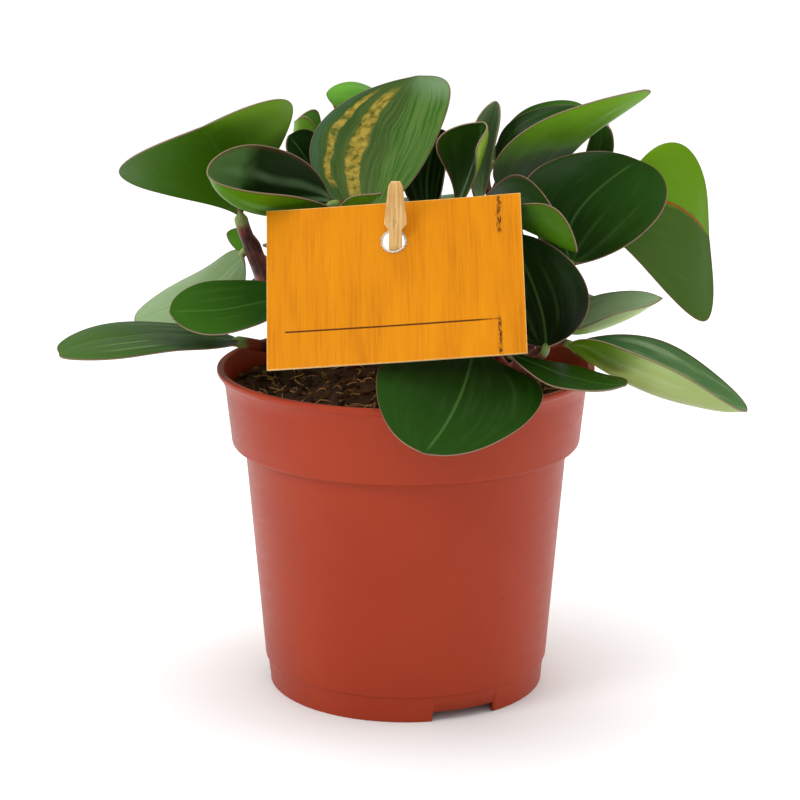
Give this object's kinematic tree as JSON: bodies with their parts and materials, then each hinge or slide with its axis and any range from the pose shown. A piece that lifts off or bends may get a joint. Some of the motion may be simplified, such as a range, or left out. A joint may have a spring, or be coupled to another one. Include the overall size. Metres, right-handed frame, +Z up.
{
  "type": "potted peperomia",
  "caption": "Small house plant with thick rounded glossy leaves in a moulded nursery pot, with a plain wood-grain card on a wooden stake.",
  "frame": {"origin": "on the pot's axis, in the plane that the pot stands on, with the plant's bounding box centred on it to within 2 mm", "axes": "+Z up along the pot's axis; -Y is the front, where the card leans; +X is to the viewer's right"},
  "size_m": [0.2244, 0.1728, 0.2085],
  "materials": {
    "pot_plastic": "moulded terracotta-coloured plastic, soft sheen",
    "peat": null,
    "green_leaf": null,
    "variegated_leaf": "waxy leaf, grey-green with ochre bands along its veins on one half",
    "stem_skin": "smooth fleshy red-brown stem, greener towards the leaves",
    "printed_card": "satin card printed with an orange wood grain",
    "light_wood": "raw pale wood"
  },
  "bodies": {
    "root": {"pot": "pot_plastic", "soil": "peat", "label_card": "printed_card", "wooden_stake": "light_wood", "stem_left": "stem_skin", "leaf_upper_left": "green_leaf", "leaf_left_oval": "green_leaf", "leaf_low_left": "green_leaf", "leaf_left_behind": "green_leaf", "leaf_bud_left": "green_leaf", "stem_centre_left": "stem_skin", "leaf_front_boat": "green_leaf", "leaf_variegated": "variegated_leaf", "leaf_under_variegated": "green_leaf", "leaf_dark_gap": "green_leaf", "leaf_funnel": "green_leaf", "leaf_inner_left": "green_leaf", "stem_centre": "stem_skin", "leaf_dark_centre": "green_leaf", "leaf_curled": "green_leaf", "leaf_narrow": "green_leaf", "leaf_inner_centre": "green_leaf", "leaf_back_centre": "green_leaf", "stem_right": "stem_skin", "leaf_right_oval": "green_leaf", "leaf_right_edge": "green_leaf", "leaf_boat_right": "green_leaf", "leaf_upper_right": "green_leaf", "leaf_back_right": "green_leaf", "stem_front_right": "stem_skin", "leaf_behind_card": "green_leaf", "leaf_pointed": "green_leaf", "leaf_long_right": "green_leaf", "leaf_low_right": "green_leaf", "leaf_over_rim": "green_leaf", "stem_back_right": "stem_skin", "leaf_right_behind": "green_leaf", "leaf_right_far": "green_leaf", "leaf_right_tip": "green_leaf", "leaf_back_high_right": "green_leaf", "leaf_back_side_right": "green_leaf", "leaf_back_low_right": "green_leaf", "stem_back_left": "stem_skin", "leaf_behind_variegated": "green_leaf", "leaf_back_high": "green_leaf", "leaf_back_high_left": "green_leaf", "leaf_back_mid": "green_leaf", "leaf_back_low_left": "green_leaf", "leaf_back_low": "green_leaf"}
  },
  "joints": []
}
